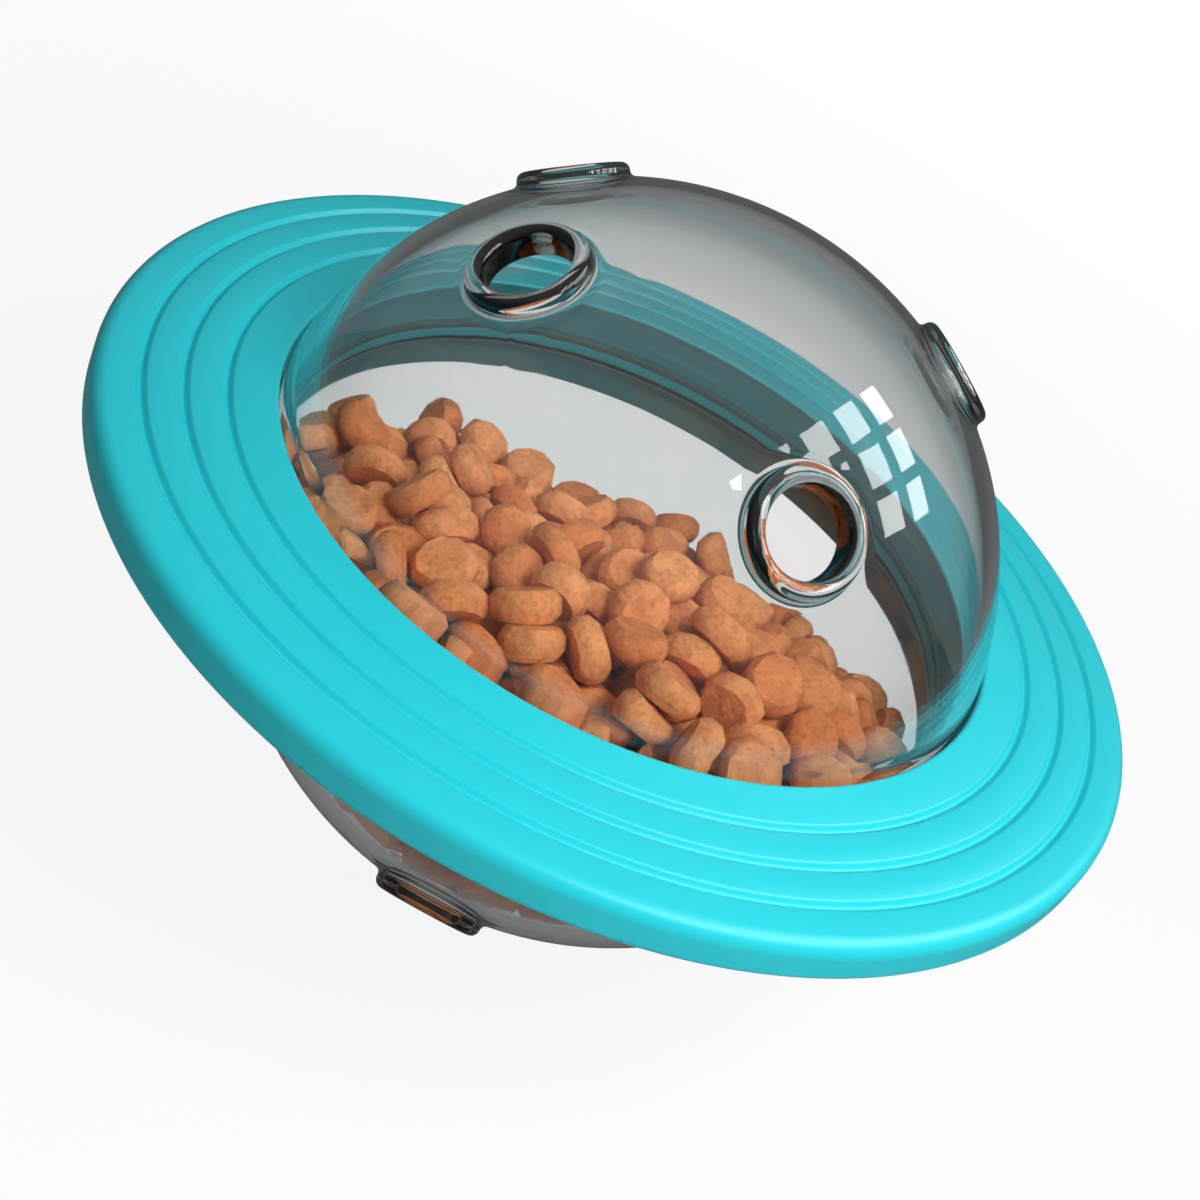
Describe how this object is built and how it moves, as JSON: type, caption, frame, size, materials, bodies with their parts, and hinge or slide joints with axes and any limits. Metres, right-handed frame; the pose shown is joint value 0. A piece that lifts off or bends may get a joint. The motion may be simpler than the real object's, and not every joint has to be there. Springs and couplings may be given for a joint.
{
  "type": "saucer treat ball",
  "caption": "Rolling pet feeder: two clear domes with beaded treat holes screw into the hub of a flat turquoise saucer ring and hold kibble.",
  "frame": {"origin": "centre of the ball, midway between the poles of the two domes", "axes": "+Z along the ring's axis towards the upper dome's pole, -Y towards the front, where the kibble lies highest"},
  "size_m": [0.15, 0.15, 0.1068],
  "materials": {
    "clear_polycarbonate": "clear, polished, very slightly smoky",
    "turquoise_abs": "satin gloss, injection moulded",
    "grey_silicone": "matte, moulded",
    "baked_kibble": "matte, baked and porous"
  },
  "bodies": {
    "lower_dome": {"lower_dome": "clear_polycarbonate", "kibble_bed": "baked_kibble", "kibble_top": "baked_kibble"},
    "lower_seal": {"lower_seal": "grey_silicone"},
    "ring": {"ring_upper_shell": "turquoise_abs", "ring_lower_shell": "turquoise_abs"},
    "upper_seal": {"upper_seal": "grey_silicone"},
    "upper_dome": {"upper_dome": "clear_polycarbonate"}
  },
  "joints": [
    {"name": "ring_lift", "type": "slide", "parent": "lower_dome", "child": "lower_seal", "axis": [0, 0, 1], "range_m": [0, 0.04]},
    {"name": "ring_twist", "type": "hinge", "parent": "lower_seal", "child": "ring", "pos_m": [0, 0, 0], "axis": [0, 0, 1], "range_deg": [0, 90]},
    {"name": "upper_dome_twist", "type": "hinge", "parent": "ring", "child": "upper_seal", "pos_m": [0, 0, 0], "axis": [0, 0, 1], "range_deg": [0, 90]},
    {"name": "upper_dome_lift", "type": "slide", "parent": "upper_seal", "child": "upper_dome", "axis": [0, 0, 1], "range_m": [0, 0.04]}
  ]
}
